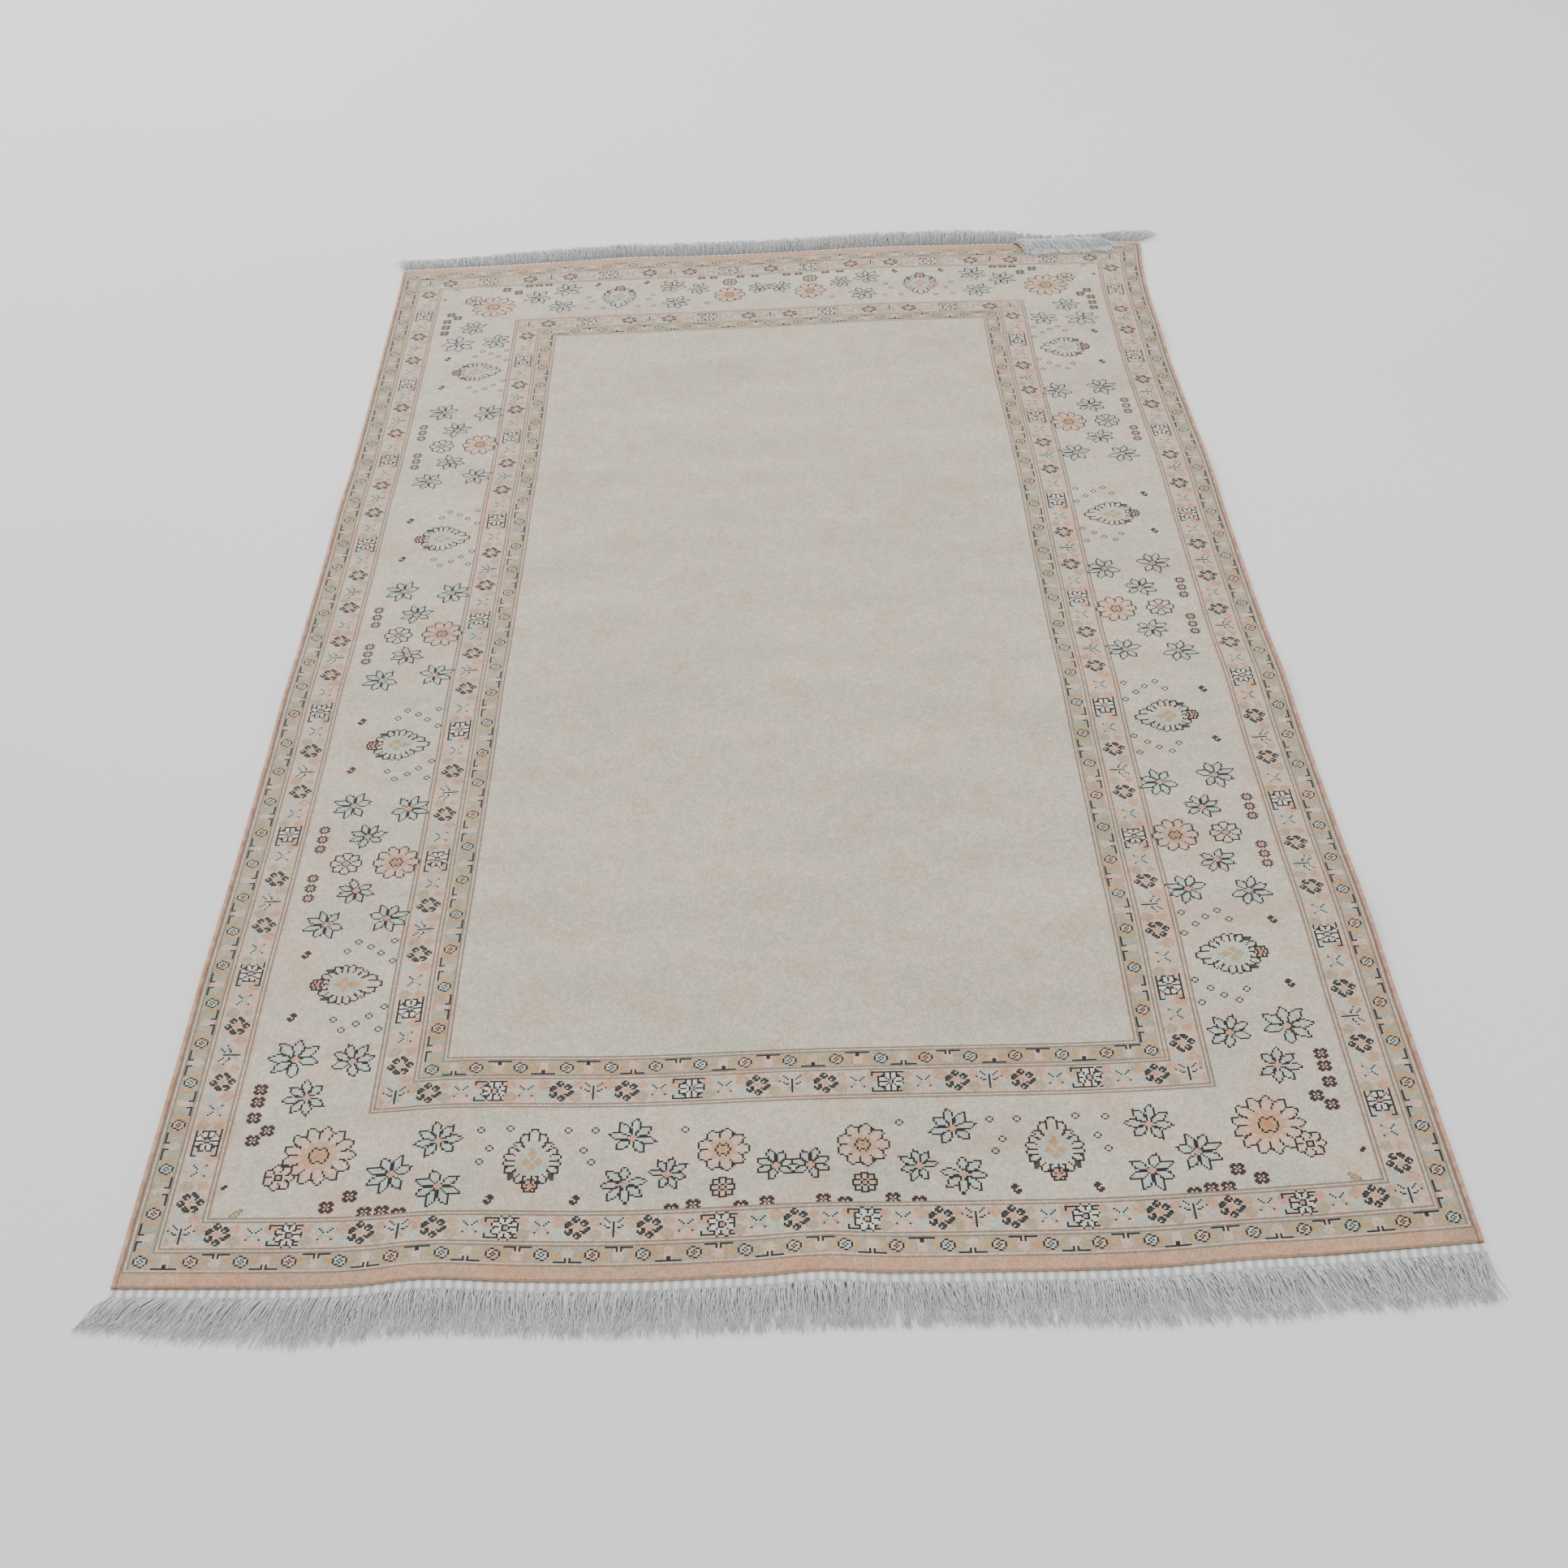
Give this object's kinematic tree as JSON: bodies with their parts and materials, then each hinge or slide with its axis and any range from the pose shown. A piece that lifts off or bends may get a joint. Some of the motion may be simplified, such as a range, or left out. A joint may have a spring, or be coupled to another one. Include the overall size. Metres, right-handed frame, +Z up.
{
  "type": "persian rug",
  "caption": "Hand-knotted silk rug lying flat in soft ridges, with patterned borders and field, overcast side cords and a fringe at each end.",
  "frame": {"origin": "on the floor under the middle of the woven rug, on its underside", "axes": "+X across the rug to its right side, +Y along it to its far end, +Z up out of the pile"},
  "size_m": [0.9557, 1.639, 0.0142],
  "materials": {
    "silk_pile": "low cut silk pile with a soft sheen",
    "overcast_silk": "silk wound round an edge cord",
    "white_silk_warp": "loose white warp ends with a sheen"
  },
  "bodies": {
    "root": {"rug_body": "silk_pile", "side_cord_left": "overcast_silk", "side_cord_right": "overcast_silk", "fringe_near": "white_silk_warp", "fringe_far": "white_silk_warp"}
  },
  "joints": []
}
